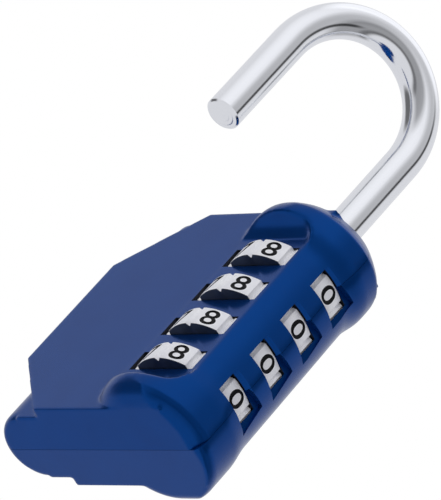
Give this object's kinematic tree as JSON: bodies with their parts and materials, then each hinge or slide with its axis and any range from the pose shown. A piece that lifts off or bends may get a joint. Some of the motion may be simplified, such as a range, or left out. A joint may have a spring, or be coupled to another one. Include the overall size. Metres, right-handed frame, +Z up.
{
  "type": "combination padlock",
  "caption": "Blue combination padlock with numbered dials along one edge and a round chrome shackle, shown lifted and swung open.",
  "frame": {"origin": "middle of the body's flat bottom face, on the plane where the two shells meet", "axes": "+Z up towards the shackle, -Y out of the front plate, +X towards the edge with the numeral windows"},
  "size_m": [0.0429, 0.0375, 0.0873],
  "materials": {
    "body_paint": "semi-gloss blue paint on a zinc die casting",
    "shackle_chrome": "polished chrome plate on hardened steel",
    "dial_silver": "silver-white satin with black engraved numerals and dark blue-grey sides",
    "brass": "turned",
    "spring_steel": "drawn wire and strip",
    "bare_zinc": "as cast"
  },
  "bodies": {
    "body": {"front_shell": "body_paint", "back_shell": "body_paint", "heel_bush": "brass", "spring_seat": "bare_zinc", "shackle_spring": "spring_steel", "detent_comb": "spring_steel", "assembly_pin_1": "bare_zinc", "assembly_pin_2": "bare_zinc", "assembly_pin_3": "bare_zinc", "assembly_pin_4": "bare_zinc", "assembly_pin_5": "bare_zinc", "assembly_pin_6": "bare_zinc"},
    "lift_cap": {"spring_cap": "bare_zinc"},
    "shackle": {"shackle": "shackle_chrome"},
    "dial_1": {"dial_ring_1": "dial_silver", "code_ring_1": "brass"},
    "dial_2": {"dial_ring_2": "dial_silver", "code_ring_2": "brass"},
    "dial_3": {"dial_ring_3": "dial_silver", "code_ring_3": "brass"},
    "dial_4": {"dial_ring_4": "dial_silver", "code_ring_4": "brass"}
  },
  "joints": [
    {"name": "shackle_lift", "type": "slide", "parent": "body", "child": "lift_cap", "axis": [0, 0, 1], "range_m": [-0.0083, 0], "stiffness_N_per_m": 150, "springref_m": 0.006, "deforming": ["shackle_spring"]},
    {"name": "shackle_swing", "type": "hinge", "parent": "lift_cap", "child": "shackle", "pos_m": [0.0105, 0, 0.02445], "axis": [0, 0, 1], "range_deg": [-68, 112]},
    {"name": "dial_1_turn", "type": "hinge", "parent": "body", "child": "dial_1", "pos_m": [0.0105, 0, 0.0369], "axis": [0, 0, 1], "continuous": true},
    {"name": "dial_2_turn", "type": "hinge", "parent": "body", "child": "dial_2", "pos_m": [0.0105, 0, 0.0286], "axis": [0, 0, 1], "continuous": true},
    {"name": "dial_3_turn", "type": "hinge", "parent": "body", "child": "dial_3", "pos_m": [0.0105, 0, 0.0203], "axis": [0, 0, 1], "continuous": true},
    {"name": "dial_4_turn", "type": "hinge", "parent": "body", "child": "dial_4", "pos_m": [0.0105, 0, 0.012], "axis": [0, 0, 1], "continuous": true}
  ]
}
